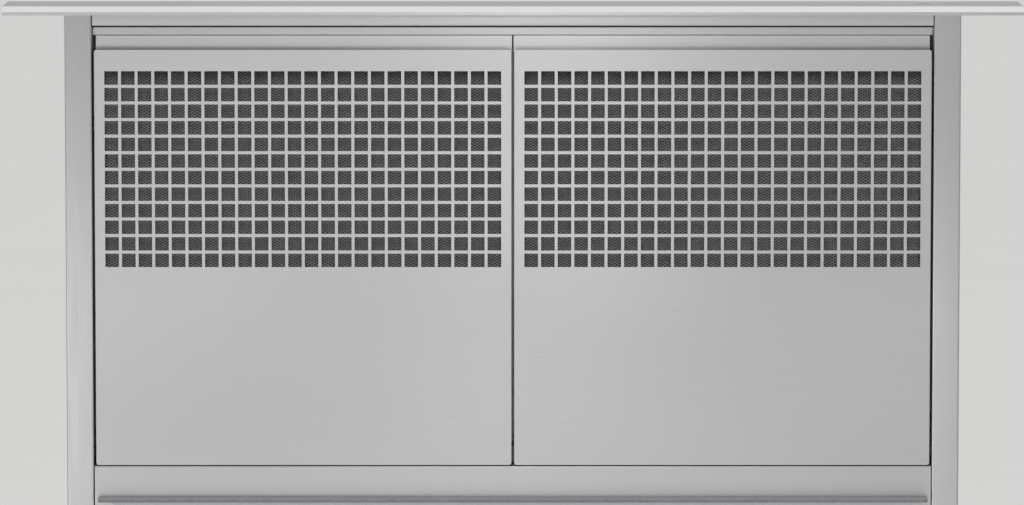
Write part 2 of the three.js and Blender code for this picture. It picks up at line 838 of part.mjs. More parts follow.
// Flanged nuts, and the screws with their bearings and pulleys.
const nutTop = crossbarTop + 9;
const nutBottom = nutTop - nutHeight - nutFlange;
addPair(
  "lift_nut",
  cut(
    join(
      bar(nutRadius, [nutBottom, nutTop], screwX, screwBack),
      bar(nutFlangeRadius, [crossbarBottom - seam - nutFlange, crossbarBottom - seam], screwX, screwBack, 20),
    ),
    bar(screwRadius + runningGap, [nutBottom - 1, nutTop + 1], screwX, screwBack),
  ),
  brass,
);

const screwTop = chassisTop - 4;
const screwFoot = panTop + 2;
const screwCutter = bar(screwRadius + runningGap, [panTop - 5, screwTop + 5], screwX, screwBack);
addPair("lift_screw", bar(screwRadius, [screwFoot, screwTop], screwX, screwBack), steel);

const bearingInner = columnSide + 1.3;
const bearingOuter = chassisSide - seam;
const bearingHalfDepth = 9.5;
const bearingDepth = [screwBack - bearingHalfDepth, screwBack + bearingHalfDepth];
const bearing = (z0) =>
  cut(block([bearingInner, bearingOuter], bearingDepth, [z0, z0 + bearingHeight]), screwCutter);
const lowerBearing = panTop + seam;
addPair("lower_bearing", bearing(lowerBearing), blackPlastic);
addPair("upper_bearing", bearing(screwTop - bearingHeight - 2), blackPlastic);

// A pulley with rims, as a turned profile round its bore.
function pulley(x, y, z0, bore) {
  const rim = pulleyRadius + pulleyRim;
  const profile = [
    [bore, 0],
    [rim, 0],
    [rim, pulleyRim],
    [pulleyRadius, pulleyRim],
    [pulleyRadius, pulleyHeight - pulleyRim],
    [rim, pulleyHeight - pulleyRim],
    [rim, pulleyHeight],
    [bore, pulleyHeight],
    [bore, 0],
  ].map(([r, z]) => new THREE.Vector2(r, z));
  return new THREE.LatheGeometry(profile, 16).rotateX(Math.PI / 2).translate(x, y, z0);
}

const syncPulleyZ = lowerBearing + bearingHeight + 2;
const drivePulleyZ = syncPulleyZ + pulleyHeight - 0.5; // the two are one turned piece
const pulleyBore = screwRadius + runningGap;
add("left_screw_pulley", pulley(-screwX, screwBack, syncPulleyZ, pulleyBore), aluminium);
add(
  "right_screw_pulley",
  join(
    pulley(screwX, screwBack, syncPulleyZ, pulleyBore),
    pulley(screwX, screwBack, drivePulleyZ, pulleyBore),
  ),
  aluminium,
);

// A belt is a closed band round two equal pulleys.
function belt([x0, y0], [x1, y1], middle) {
  const turn = Math.atan2(y1 - y0, x1 - x0);
  const loop = (radius, path) => {
    path.absarc(x1, y1, radius, turn - Math.PI / 2, turn + Math.PI / 2, false);
    path.absarc(x0, y0, radius, turn + Math.PI / 2, turn + (3 * Math.PI) / 2, false);
    return path;
  };
  const shape = loop(pulleyRadius + seam / 2 + beltThickness, new THREE.Shape());
  shape.holes.push(loop(pulleyRadius + seam / 2, new THREE.Path()));
  return alongZ(shape, [middle - beltWidth / 2, middle + beltWidth / 2]);
}

const syncBeltZ = syncPulleyZ + pulleyHeight / 2;
const driveBeltZ = drivePulleyZ + pulleyHeight / 2;
add("sync_belt", belt([-screwX, screwBack], [screwX, screwBack], syncBeltZ), blackRubber);
add("drive_belt", belt([motorX, motorBack], [screwX, screwBack], driveBeltZ), blackRubber);

// Gearmotor on a bracket, with its pulley below.
const motorShaftRadius = 4;
const bracketSheet = 1.6;
const bracketHalf = 22;
const bracketHeight = 60;
const motorPlateZ = driveBeltZ + pulleyHeight / 2 + 4;
const motorFoot = motorPlateZ + bracketSheet + seam;
const gearboxHeight = 34;
const motorStep = 2; // the motor is slimmer than its gearbox
const motorBoss = 6; // radius of the bearing boss on top
const motorBossHeight = 5;
add(
  "motor_pulley",
  join(
    pulley(motorX, motorBack, driveBeltZ - pulleyHeight / 2, motorShaftRadius - 0.5),
    bar(motorShaftRadius, [driveBeltZ - pulleyHeight / 2, motorFoot - seam], motorX, motorBack),
  ),
  aluminium,
);
const motorProfile = [
  [0, 0],
  [motorRadius, 0],
  [motorRadius, gearboxHeight],
  [motorRadius - motorStep, gearboxHeight + 1.5],
  [motorRadius - motorStep, motorHeight - motorBossHeight - 3],
  [motorRadius - motorStep - 4, motorHeight - motorBossHeight],
  [motorBoss, motorHeight - motorBossHeight],
  [motorBoss, motorHeight],
  [0, motorHeight],
].map(([r, z]) => new THREE.Vector2(r, z));
add(
  "lift_gearmotor",
  new THREE.LatheGeometry(motorProfile, 20).rotateX(Math.PI / 2).translate(motorX, motorBack, motorFoot),
  motorPaint,
);
const bracketBack = chassisInner - seam;
const bracketWidth = [motorX - bracketHalf, motorX + bracketHalf];
const bracketWall = [bracketBack - bracketSheet, bracketBack];
add(
  "motor_bracket",
  cut(
    join(
      block(bracketWidth, [motorBack - motorRadius, bracketBack], [motorPlateZ, motorPlateZ + bracketSheet]),
      block(bracketWidth, bracketWall, [motorPlateZ, motorPlateZ + bracketHeight]),
    ),
    bar(motorShaftRadius + 0.5, [motorPlateZ - 1, motorFoot], motorX, motorBack),
  ),
  galvanised,
);

// ---------------------------------------------------------------- blower

// The scroll's radius grows evenly from the tongue, over the top and round to the bottom.
function scrollPoints(grow, outlet = outletX) {
  const points = [];
  const steps = 18;
  const growth = Math.log(scrollEnd / scrollStart);
  for (let i = 0; i <= steps; i++) {
    const share = i / steps;
    const radius = scrollStart * Math.exp(growth * share) + grow;
    const angle = Math.PI - 1.5 * Math.PI * share;
    points.push([blowerX + radius * Math.cos(angle), blowerZ + radius * Math.sin(angle)]);
  }
  points[0][1] = blowerZ + grow;
  points.push([outlet, blowerZ - scrollEnd - grow], [outlet, blowerZ + grow]);
  return points;
}

// The scroll is a wrapper between two flat plates: the inlet is in the back one, the motor in the front one.
const scrollSheet = 1.2;
const scrollFront = blowerBack - scrollDepth;
const motorHole = 34;
const scrollPlate = (y, hole) =>
  cut(
    alongY(outline(scrollPoints(scrollSheet)), [y - scrollSheet, y]),
    barY(hole, [y - scrollSheet - 1, y + 1], blowerX, blowerZ, 28),
  );
add("blower_back_plate", scrollPlate(blowerBack, inletRadius), galvanised);
add("blower_front_plate", scrollPlate(scrollFront + scrollSheet, motorHole), galvanised);
const wrapperBack = blowerBack - scrollSheet - seam;
const wrapperFront = scrollFront + scrollSheet + seam;
add(
  "blower_wrapper",
  cut(
    alongY(outline(scrollPoints(scrollSheet)), [wrapperFront, wrapperBack]),
    alongY(outline(scrollPoints(0, outletX - 5)), [wrapperFront - 1, wrapperBack + 1]),
  ),
  galvanised,
);

// Squirrel-cage wheel: a disc at the motor's side, a ring at the inlet and curved blades between them.
const wheelBack = blowerBack - 14;
const wheelFront = wheelBack - wheelWidth;
const discSheet = 2;
const bladeShape = (turn) => {
  const at = (radius, angle) => [
    blowerX + radius * Math.cos(angle + turn),
    blowerZ + radius * Math.sin(angle + turn),
  ];
  const inner = wheelRadius - bladeDepth;
  const outer = wheelRadius - 0.8;
  const middle = (inner + outer) / 2;
  const wide = bladeSheet / wheelRadius;
  return outline([
    at(inner, 0),
    at(middle, -0.03),
    at(outer, -0.14),
    at(outer, -0.14 + wide),
    at(middle, -0.03 + wide),
    at(inner, wide),
  ]);
};
const blades = [];
const bladeSpan = [wheelFront + discSheet / 2, wheelBack - discSheet / 2];
for (let i = 0; i < bladeCount; i++)
  blades.push(alongY(bladeShape((2 * Math.PI * i) / bladeCount), bladeSpan));
const inletRing = cut(
  barY(wheelRadius, [wheelBack - discSheet, wheelBack], blowerX, blowerZ, 26),
  barY(wheelRadius - bladeDepth - 0.6, [wheelBack - 5, wheelBack + 5], blowerX, blowerZ, 26),
);
const hubRadius = 12;
const shaftRadius = 5;
add(
  "blower_wheel",
  cut(
    join(
      barY(wheelRadius, [wheelFront, wheelFront + discSheet], blowerX, blowerZ, 26),
      barY(hubRadius, [wheelFront, wheelFront + 22], blowerX, blowerZ, 16),
      inletRing,
      ...blades,
    ),
    barY(shaftRadius + 0.05, [wheelFront - 5, wheelFront + 30], blowerX, blowerZ, 16),
  ),
  galvanised,
);

// The motor sits in the front plate, its flange outside and its shaft in the wheel's hub.
const motorDepth = 46;
const blowerMotorRadius = 42;
const motorFlange = 3;
const blowerMotorBack = scrollFront - seam;
add(
  "blower_motor",
  join(
    barY(blowerMotorRadius + 8, [blowerMotorBack - motorFlange, blowerMotorBack], blowerX, blowerZ, 24),
    barY(blowerMotorRadius, [blowerMotorBack - motorDepth, blowerMotorBack - 1], blowerX, blowerZ, 24),
    barY(motorHole - 1, [blowerMotorBack - 1, wheelFront - 3], blowerX, blowerZ, 24),
    barY(shaftRadius - 0.3, [wheelFront - 4, wheelFront + 24], blowerX, blowerZ, 16),
  ),
  motorPaint,
);

// The damper's axle crosses the collar a little above its middle.
const damperX = outletX - seam - ductLength + damperInset;
const axleRadius = 2.5;
const axle = (grow, reach) =>
  barY(axleRadius + grow, [blowerY - reach, blowerY + reach], damperX, outletZ + damperOffset, 12);

// Duct collar: a square flange on the scroll's outlet and a round stub for a 150 mm duct.
const collarFlange = 1.2;
const collarBack = outletX - seam;
const collarEnd = collarBack - ductLength;
const flangeHalfY = scrollDepth / 2;
const flangeHalfZ = scrollEnd / 2 + 6;
add(
  "duct_collar",
  cut(
    join(
      block(
        [collarBack - collarFlange, collarBack],
        [blowerY - flangeHalfY - 6, blowerY + flangeHalfY],
        [outletZ - flangeHalfZ, outletZ + flangeHalfZ],
      ),
      barX(ductRadius + ductSheet, [collarEnd, collarBack - collarFlange / 2], blowerY, outletZ, 32),
    ),
    barX(ductRadius, [collarEnd - 5, collarBack + 5], blowerY, outletZ, 32),
    axle(runningGap, ductRadius + 10),
  ),
  galvanised,
);

// Backdraft damper: a disc whose own weight shuts it, since its axle is above its middle.
const damperRadius = ductRadius * Math.cos(Math.PI / 32) - damperGap;
add(
  "damper_disc",
  join(
    barX(damperRadius, [damperX - 0.8, damperX + 0.8], blowerY, outletZ, 32),
    axle(0, ductRadius + 3),
  ),
  galvanised,
);

// ---------------------------------------------------------------- electronics

const boxWidth = 110;
const boxHeight = 160;
const boxDepth = 48;
const boxInset = 22; // from the chassis's side
const boxRise = 230; // above the underside of the chassis
const boxBack = -chassisOuter - seam;
const boxX = [chassisSide - boxInset - boxWidth, chassisSide - boxInset];
const boxZ = [chassisFoot + boxRise, chassisFoot + boxRise + boxHeight];
const lidRim = 8;
const lidOverlap = 1.5; // beyond the box on every side
add(
  "control_box",
  cut(
    block(boxX, [boxBack - boxDepth, boxBack], boxZ),
    block(
      [boxX[0] + sheet, boxX[1] - sheet],
      [boxBack - boxDepth - 1, boxBack - sheet],
      [boxZ[0] + sheet, boxZ[1] - sheet],
    ),
  ),
  galvanised,
);
const lidFront = boxBack - boxDepth - seam - sheet;
const lidX = [boxX[0] - lidOverlap, boxX[1] + lidOverlap];
const lidZ = [boxZ[0] - lidOverlap, boxZ[1] + lidOverlap];
add(
  "control_box_lid",
  join(
    block(lidX, [lidFront, lidFront + sheet], lidZ),
    block(lidX, [lidFront, lidFront + lidRim], [boxZ[1] + seam, lidZ[1]]),
    block(lidX, [lidFront, lidFront + lidRim], [lidZ[0], boxZ[0] - seam]),
  ),
  galvanised,
);

// Cable gland under the box: a hexagon nut and a round tail with the cable's bore.
const glandRadius = 9;
const glandNut = 14;
const glandTail = 8; // below the nut
const glandBore = 4.5;
const glandTop = boxZ[0] - seam;
const glandX = (boxX[0] + boxX[1]) / 2;
const glandY = boxBack - boxDepth / 2;
add(
  "cable_gland",
  cut(
    join(
      bar(glandRadius, [glandTop - glandNut, glandTop], glandX, glandY, 6),
      bar(glandRadius - 2, [glandTop - glandNut - glandTail, glandTop - glandNut / 2], glandX, glandY),
    ),
    bar(glandBore, [glandTop - glandNut - glandTail - 1, glandTop + 1], glandX, glandY, 12),
  ),
  blackPlastic,
);

// ---------------------------------------------------------------- the part's own frame

// The origin lies on the cabinet floor, under the middle of the appliance's width and depth.
const foremost = blowerMotorBack - motorDepth;
vent.position.set(0, -(foremost + capBack) / 2, -floorLevel);

export default new THREE.Group().add(vent);
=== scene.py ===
# %% [markdown]
# # A pop-up downdraft vent
# The vent stands at the back of a kitchen counter. A flat column of stainless steel rises out of a thin
# sheet metal chassis, and two perforated covers at its front let the cooking air in through a grease filter
# each. Lead screws, belts and a scroll blower below the counter do the work. The model of its construction
# is loaded first, and everything after this cell only dresses it: materials, the filters' mesh, threads,
# belt teeth and screws. A fresh Blender file holds a cube, a lamp and a camera that don't belong here, so
# they go.

# %% Load the construction
import json
import math

import bmesh
import bpy
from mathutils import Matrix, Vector


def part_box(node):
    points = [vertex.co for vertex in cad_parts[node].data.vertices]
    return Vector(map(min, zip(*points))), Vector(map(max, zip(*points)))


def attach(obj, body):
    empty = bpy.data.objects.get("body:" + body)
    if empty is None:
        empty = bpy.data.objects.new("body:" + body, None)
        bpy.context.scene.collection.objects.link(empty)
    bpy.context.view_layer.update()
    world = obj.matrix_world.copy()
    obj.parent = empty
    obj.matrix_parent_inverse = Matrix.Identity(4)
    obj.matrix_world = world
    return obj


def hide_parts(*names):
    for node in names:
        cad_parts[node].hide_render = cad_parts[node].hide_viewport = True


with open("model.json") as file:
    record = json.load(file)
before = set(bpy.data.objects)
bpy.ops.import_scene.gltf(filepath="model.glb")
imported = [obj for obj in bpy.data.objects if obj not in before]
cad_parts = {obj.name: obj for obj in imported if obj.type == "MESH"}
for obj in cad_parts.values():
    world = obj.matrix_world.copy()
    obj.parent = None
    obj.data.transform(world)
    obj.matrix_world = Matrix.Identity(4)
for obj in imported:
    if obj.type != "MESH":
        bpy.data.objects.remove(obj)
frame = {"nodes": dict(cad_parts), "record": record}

for stray in ("Cube", "Light", "Camera"):
    if stray in bpy.data.objects:
        bpy.data.objects.remove(bpy.data.objects[stray])

MM = 0.001
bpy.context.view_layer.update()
node_slot = {row["node"]: row["material_slot"] for row in frame["record"]["subparts"]}
print("pieces in the construction:", len(frame["nodes"]))

# %% [markdown]
# ## Camera
# The photograph looks straight at the column from a little above its cap, so that the cap's top is a thin
# band, and its upright edges are parallel. A camera that stands level and shifts its sensor down gives
# exactly that, but the shift would follow it to every other view. So the camera looks down a little
# instead, and stands far back with a long lens, which keeps the upright edges nearly parallel.

# %% Camera
FRAME_PIXELS = 1024  # width of the photograph
FOCAL_PIXELS = 6718
SENSOR_MM = 36
CAMERA_DISTANCE = 5.0  # from the cap's front edge
ABOVE_CAP = 0.3233
CAMERA_X = -0.0006
CAMERA_PITCH = math.radians(5.795)
FARTHEST_SEEN = 200

cap_low, cap_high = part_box("cap")
camera_data = bpy.data.cameras.new("camera")
camera_data.sensor_width = SENSOR_MM
camera_data.lens = SENSOR_MM * FOCAL_PIXELS / FRAME_PIXELS
camera_data.clip_end = FARTHEST_SEEN
camera = bpy.data.objects.new("camera", camera_data)
camera.location = (CAMERA_X, cap_low.y - CAMERA_DISTANCE, cap_high.z + ABOVE_CAP)
camera.rotation_euler = (math.pi / 2 - CAMERA_PITCH, 0, 0)
bpy.context.scene.collection.objects.link(camera)
bpy.context.scene.camera = camera
print("lens in mm:", round(camera_data.lens, 1))

# %% [markdown]
# ## Colours and nodes
# A colour picker shows sRGB values and a shader wants linear ones, so one function converts them. Another
# adds a node: its properties, the values of its sockets and what is linked to them, in one call. All
# patterns below are laid out in object coordinates, which are metres here, so a pattern's scale is one over
# a real length.

# %% Colour and node helpers
def linear(hex_colour):
    parts = [int(hex_colour[i:i + 2], 16) / 255 for i in (1, 3, 5)]
    return [p / 12.92 if p <= 0.04045 else ((p + 0.055) / 1.055) ** 2.4 for p in parts] + [1]


def add_node(tree, kind, values=None, links=None, **settings):
    made = tree.nodes.new(kind)
    for name, value in settings.items():
        setattr(made, name, value)
    for socket, value in (values or {}).items():
        made.inputs[socket].default_value = value
    for socket, source in (links or {}).items():
        tree.links.new(source, made.inputs[socket])
    return made


def new_material(name, colour, metallic, roughness):
    material = bpy.data.materials.new(name)
    material.use_nodes = True
    shader = material.node_tree.nodes["Principled BSDF"]
    shader.inputs["Base Color"].default_value = linear(colour)
    shader.inputs["Metallic"].default_value = metallic
    shader.inputs["Roughness"].default_value = roughness
    return material, material.node_tree, shader


print("a tone of #808080 is", round(linear("#808080")[0], 3), "in linear light")

# %% [markdown]
# Most finishes need the same three things from a pattern: two close tones for the colour, a span of
# roughness, and a little relief. This helper lays a noise whose grains have a real size in millimetres
# along each axis, and the next one feeds a pattern to the shader.

# %% Pattern helpers
NOISE_ROUGHNESS = 0.6
NOISE_SPAN = (0.3, 0.7)  # a noise hardly ever leaves this part of 0 to 1


def grain_noise(tree, size_mm, detail=3):
    place = add_node(tree, "ShaderNodeTexCoord")
    scaled = add_node(tree, "ShaderNodeMapping",
                      values={"Scale": [1 / (side * MM) for side in size_mm]},
                      links={"Vector": place.outputs["Object"]})
    noise = add_node(tree, "ShaderNodeTexNoise",
                     values={"Scale": 1, "Detail": detail, "Roughness": NOISE_ROUGHNESS},
                     links={"Vector": scaled.outputs["Vector"]})
    return noise.outputs["Fac"]


def drive(tree, shader, pattern, tones=None, roughness=None, relief_mm=None, span=NOISE_SPAN):
    if tones:
        ramp = add_node(tree, "ShaderNodeValToRGB", links={"Fac": pattern})
        for stop, at, tone in zip(ramp.color_ramp.elements, span, tones):
            stop.position = at
            stop.color = linear(tone)
        tree.links.new(ramp.outputs["Color"], shader.inputs["Base Color"])
    if roughness:
        spread = add_node(tree, "ShaderNodeMapRange", links={"Value": pattern},
                          values={"From Min": span[0], "From Max": span[1],
                                  "To Min": roughness[0], "To Max": roughness[1]})
        tree.links.new(spread.outputs["Result"], shader.inputs["Roughness"])
    if relief_mm:
        bump = add_node(tree, "ShaderNodeBump",
                        values={"Strength": 1, "Distance": relief_mm * MM},
                        links={"Height": pattern})
        tree.links.new(bump.outputs["Normal"], shader.inputs["Normal"])


print("noise is used between", NOISE_SPAN[0], "and", NOISE_SPAN[1])

# %% [markdown]
# ## Brushed stainless steel
# The cap, posts, rails and covers are 430 grade stainless sheet, ground with a belt so that fine lines run
# along each piece, and then made satin. The eye sees a soft grey that hardly mirrors anything, with light
# streaks along the grain and a slow change of tone across a large panel. Real grinding lines are a few
# hundredths of a millimetre wide, too fine for the picture, so they are drawn 0.7 mm wide. The roughness is
# stretched across the grain, which is what anisotropy with a tangent round the grain's axis does.
#
# Three tones of it are used. Upright grain spreads a lamp's light sideways instead of up and down, so the
# same sheet looks brighter on the posts, and theirs is painted a little darker to offset that light, a
# painted shade. The narrow strips that a finger pulls lie behind the covers' face, in the shade of the cap,
# and theirs is painted a little lighter to offset that shade, so it is painted light.

# %% Brushed stainless steel
ALONG_TONES = ("#b9b9ba", "#c9c9c9")
# painted shade: the posts' copy of the same steel is darker to offset how the lamps light upright grain
UPRIGHT_TONES_PAINTED_DARKER = ("#a9a9aa", "#b9b9ba")
# painted light: the pull strips' copy of the same steel is lighter to offset the shade of the cap
STRIP_TONES_PAINTED_LIGHTER = ("#c1c1c2", "#d1d1d1")
LINE_LENGTH_MM, LINE_WIDTH_MM = 90, 0.7
DRIFT_MM = (260, 260, 200)  # slow change of tone across a panel
DRIFT_SHARE = 0.45
STRETCH_OF_LIGHT = 0.75


def brushed_stainless(name, grain_axis, tones):
    material, tree, shader = new_material(name, "#c1c1c2", 1, 0.34)
    size_mm = [LINE_LENGTH_MM if axis == grain_axis else LINE_WIDTH_MM for axis in "XYZ"]
    lines = grain_noise(tree, size_mm, detail=4)
    drift = grain_noise(tree, DRIFT_MM, detail=1)
    both = add_node(tree, "ShaderNodeMix", values={"Factor": DRIFT_SHARE},
                    links={"A": lines, "B": drift})
    drive(tree, shader, both.outputs["Result"], tones=tones)
    drive(tree, shader, lines, roughness=(0.29, 0.4), relief_mm=0.004)
    around = add_node(tree, "ShaderNodeTangent", direction_type="RADIAL", axis=grain_axis)
    shader.inputs["Anisotropic"].default_value = STRETCH_OF_LIGHT
    tree.links.new(around.outputs["Tangent"], shader.inputs["Tangent"])
    return material


stainless_along = brushed_stainless("brushed_stainless_long_grain", "X", ALONG_TONES)
stainless_upright_painted_darker = brushed_stainless("brushed_stainless_upright_painted_darker", "Z", UPRIGHT_TONES_PAINTED_DARKER)
stainless_strip_painted_lighter = brushed_stainless("brushed_stainless_strip_painted_lighter", "X", STRIP_TONES_PAINTED_LIGHTER)
print("stainless tones:", ALONG_TONES, UPRIGHT_TONES_PAINTED_DARKER, STRIP_TONES_PAINTED_LIGHTER)

# %% [markdown]
# ## Galvanised steel
# The chassis and the blower are hot-dip galvanised sheet, made matt by a light rolling. The zinc froze in
# flat crystals, the spangle, which show as patches a centimetre across, each a slightly different grey. A
# Voronoi texture gives each cell one random value, which is exactly that.

# %% Galvanised steel
SPANGLE_MM = 9
RAGGED_MM = 4  # how far the crystals' borders stray, and over what length
CLOUD_SHARE = 0.4  # the rest of the tone is the crystal's own
CLOUD_MM = (45, 45, 45)
ROLLED_GRAIN_MM = (0.8, 0.8, 0.8)


def galvanised_sheet():
    material, tree, shader = new_material("galvanised_steel_spangled", "#b6babd", 1, 0.46)
    place = add_node(tree, "ShaderNodeTexCoord")
    wobble = add_node(tree, "ShaderNodeTexNoise",
                      values={"Scale": 1 / (RAGGED_MM * MM), "Detail": 2},
                      links={"Vector": place.outputs["Object"]})
    ragged = add_node(tree, "ShaderNodeVectorMath", operation="MULTIPLY_ADD",
                      values={1: [RAGGED_MM * MM] * 3},
                      links={0: wobble.outputs["Color"], 2: place.outputs["Object"]})
    spangle = add_node(tree, "ShaderNodeTexVoronoi", values={"Scale": 1 / (SPANGLE_MM * MM)},
                       links={"Vector": ragged.outputs["Vector"]})
    cell = add_node(tree, "ShaderNodeSeparateColor", links={"Color": spangle.outputs["Color"]})
    cloud = grain_noise(tree, CLOUD_MM)
    both = add_node(tree, "ShaderNodeMix", values={"Factor": CLOUD_SHARE},
                    links={"A": cell.outputs["Red"], "B": cloud})
    drive(tree, shader, both.outputs["Result"], tones=("#a9adb0", "#bfc3c6"), roughness=(0.4, 0.54),
          span=(0.15, 0.85))
    drive(tree, shader, grain_noise(tree, ROLLED_GRAIN_MM), relief_mm=0.006)
    return material


galvanised = galvanised_sheet()
print("spangle in mm:", SPANGLE_MM)

# %% [markdown]
# ## The smaller metals
# Drawn steel bars keep faint lines along their length. Aluminium for the pulleys and filter frames is bare
# from the mill: soft, greyish, clouded. Turned brass has fine rings round its axis, which a stretched noise
# also gives. The filter's expanded sheet is aluminium painted a darker grey, a painted shade for its place
# behind the cover, and the crimped pad behind it is painted a good deal darker still for its deeper shade:
# both together make the dark grey weave in the holes.
# The hinge rod is blackened and oiled, a dark bar with a soft sheen. Screws and rivets are zinc plated and
# slightly blue, and the motors have a baked dark enamel with an orange-peel surface.

# %% Smaller metals and paint
drawn_steel, tree, shader = new_material("drawn_steel_bright", "#a4a7ab", 1, 0.28)
drive(tree, shader, grain_noise(tree, (0.5, 0.5, 60)), tones=("#989b9f", "#b0b3b6"), roughness=(0.22, 0.36))

mill_aluminium, tree, shader = new_material("mill_aluminium", "#b4b6b8", 1, 0.38)
drive(tree, shader, grain_noise(tree, (12, 12, 12)), tones=("#a6a8aa", "#bfc1c3"), roughness=(0.32, 0.46))

turned_brass, tree, shader = new_material("turned_brass", "#c2a05a", 1, 0.3)
drive(tree, shader, grain_noise(tree, (9, 9, 0.4)), tones=("#b3914c", "#ccab66"), roughness=(0.24, 0.38),
      relief_mm=0.006)

# painted shade: the strands' grey is darker than bare aluminium for the shade behind the cover
mesh_aluminium_painted_darker, tree, shader = new_material("expanded_aluminium_painted_darker", "#959799", 0.9, 0.5)
drive(tree, shader, grain_noise(tree, (7, 7, 7)), tones=("#858789", "#a5a7a9"), roughness=(0.42, 0.6))

shaded_aluminium, tree, shader = new_material("expanded_aluminium_in_shade", "#606163", 0.6, 0.65)
drive(tree, shader, grain_noise(tree, (1.6, 3, 1.2)), tones=("#505153", "#717274"), relief_mm=0.4)

blackened_steel, tree, shader = new_material("blackened_steel_oiled", "#2a2a2c", 0.8, 0.4)
drive(tree, shader, grain_noise(tree, (40, 0.6, 0.6)), tones=("#252527", "#333336"), roughness=(0.34, 0.5))

zinc_plated, tree, shader = new_material("zinc_plated_steel", "#b9bcc0", 1, 0.3)
drive(tree, shader, grain_noise(tree, (2, 2, 2)), tones=("#adb0b4", "#c6c8cc"), roughness=(0.25, 0.38))

motor_enamel, tree, shader = new_material("baked_enamel_dark", "#3a3c40", 0, 0.38)
shader.inputs["IOR"].default_value = 1.5
drive(tree, shader, grain_noise(tree, (1.6, 1.6, 1.6)), tones=("#35373b", "#404247"), relief_mm=0.02)
print("finishes made so far:", len(bpy.data.materials))

# %% [markdown]
# ## Rubber, plastics and the circuit board
# The wiper strip is a grey thermoplastic elastomer, dull and a little dusty. Belts are black chloroprene,
# nearly matt. The bearings and gland are black ABS from a sparked mould, whose fine leather shows as tiny
# bumps. The buttons are the same ABS under a silver lacquer, whose metal flakes give them nearly the tone
# of the steel around them. The guide shoes are natural nylon, which lets a little light in. The board has a
# green solder mask, glossy.

# %% Rubber, plastics and board
grey_elastomer, tree, shader = new_material("grey_elastomer_moulded", "#99999c", 0, 0.62)
shader.inputs["IOR"].default_value = 1.5
drive(tree, shader, grain_noise(tree, (3, 3, 3)), tones=("#919194", "#a3a3a6"), roughness=(0.55, 0.7),
      relief_mm=0.01)

belt_rubber, tree, shader = new_material("black_chloroprene", "#1e1e20", 0, 0.7)
shader.inputs["IOR"].default_value = 1.52
drive(tree, shader, grain_noise(tree, (1.2, 1.2, 1.2)), tones=("#19191b", "#262628"), relief_mm=0.02)

black_abs, tree, shader = new_material("black_abs_sparked", "#252628", 0, 0.5)
shader.inputs["IOR"].default_value = 1.54
drive(tree, shader, grain_noise(tree, (0.6, 0.6, 0.6)), tones=("#212224", "#2b2c2e"),
      roughness=(0.44, 0.58), relief_mm=0.015)

silver_lacquer, tree, shader = new_material("silver_lacquer_on_abs", "#b4b5b7", 0.9, 0.34)
drive(tree, shader, grain_noise(tree, (0.3, 0.3, 0.3)), tones=("#a9aaac", "#bfc0c2"), roughness=(0.3, 0.38))

LIGHT_DEPTH = 2 * MM  # how far light gets into nylon
natural_nylon, tree, shader = new_material("natural_nylon_moulded", "#e2dfd5", 0, 0.42)
shader.inputs["IOR"].default_value = 1.53
shader.inputs["Subsurface Weight"].default_value = 0.15
shader.inputs["Subsurface Scale"].default_value = LIGHT_DEPTH
drive(tree, shader, grain_noise(tree, (5, 5, 5)), tones=("#dcd9ce", "#e8e5dc"), roughness=(0.36, 0.5))

solder_mask, tree, shader = new_material("solder_mask_green", "#2c5a3c", 0, 0.25)
shader.inputs["IOR"].default_value = 1.5
drive(tree, shader, grain_noise(tree, (2.5, 0.8, 2.5)), tones=("#27523a", "#326545"), relief_mm=0.01)
print("finishes made so far:", len(bpy.data.materials))

# %% [markdown]
# ## Dressing the construction
# Each node keeps its mesh and gets a finish by its slot. The posts and the back are cut from sheet whose
# grain runs up, and everything else in stainless steel has it running across. No real edge is perfectly
# sharp, and a rounded edge catches a thin line of light, so four modifiers soften the edges: a geometry
# node group joins the loose triangles and drops their stored normals, a decimate step dissolves the flat
# ones into whole faces, and a bevel of a fraction of a millimetre rounds every edge that turns by more than
# 30 degrees. Weighted normals then let the large faces decide, so that a flat sheet is shaded flat right up
# to its bend.

# %% Finishes by slot
finish_of_slot = {
    "stainless": stainless_along,
    "galvanised": galvanised,
    "aluminium": mill_aluminium,
    "steel": drawn_steel,
    "brass": turned_brass,
    "grey_rubber": grey_elastomer,
    "black_rubber": belt_rubber,
    "black_plastic": black_abs,
    "white_nylon": natural_nylon,
    "board": solder_mask,
    "motor_paint": motor_enamel,
}
finish_of_node = {
    # the posts and the back sheet take the copy painted darker, a painted shade
    "left_post": stainless_upright_painted_darker,
    "right_post": stainless_upright_painted_darker,
    "column_back_sheet": stainless_upright_painted_darker,
    # the pull strips take the copy painted lighter, painted light against the cap's shade
    "left_pull": stainless_strip_painted_lighter,
    "right_pull": stainless_strip_painted_lighter,
    "cover_hinge_rod": blackened_steel,
}
for name, part in frame["nodes"].items():
    part.data.materials.clear()
    part.data.materials.append(finish_of_node.get(name) or finish_of_slot[node_slot[name]])
print("finishes used:", len(set(node_slot.values())), "by slot and", len(finish_of_node), "by name")

# %% Softened edges
WELD_WITHIN = 0.01 * MM


def joined_smooth_group():
    group = bpy.data.node_groups.new("joined_smooth", "GeometryNodeTree")
    for direction in ("INPUT", "OUTPUT"):
        group.interface.new_socket("Geometry", in_out=direction, socket_type="NodeSocketGeometry")
    start = add_node(group, "NodeGroupInput")
    welded = add_node(group, "GeometryNodeMergeByDistance", values={"Distance": WELD_WITHIN},
                      links={"Geometry": start.outputs[0]})
    bare = add_node(group, "GeometryNodeRemoveAttribute", values={"Name": "custom_normal"},
                    links={"Geometry": welded.outputs["Geometry"]})
    smooth = add_node(group, "GeometryNodeSetShadeSmooth", values={"Shade Smooth": True},
                      links={"Geometry": bare.outputs["Geometry"]})
    add_node(group, "NodeGroupOutput", links={0: smooth.outputs["Geometry"]})
    return group


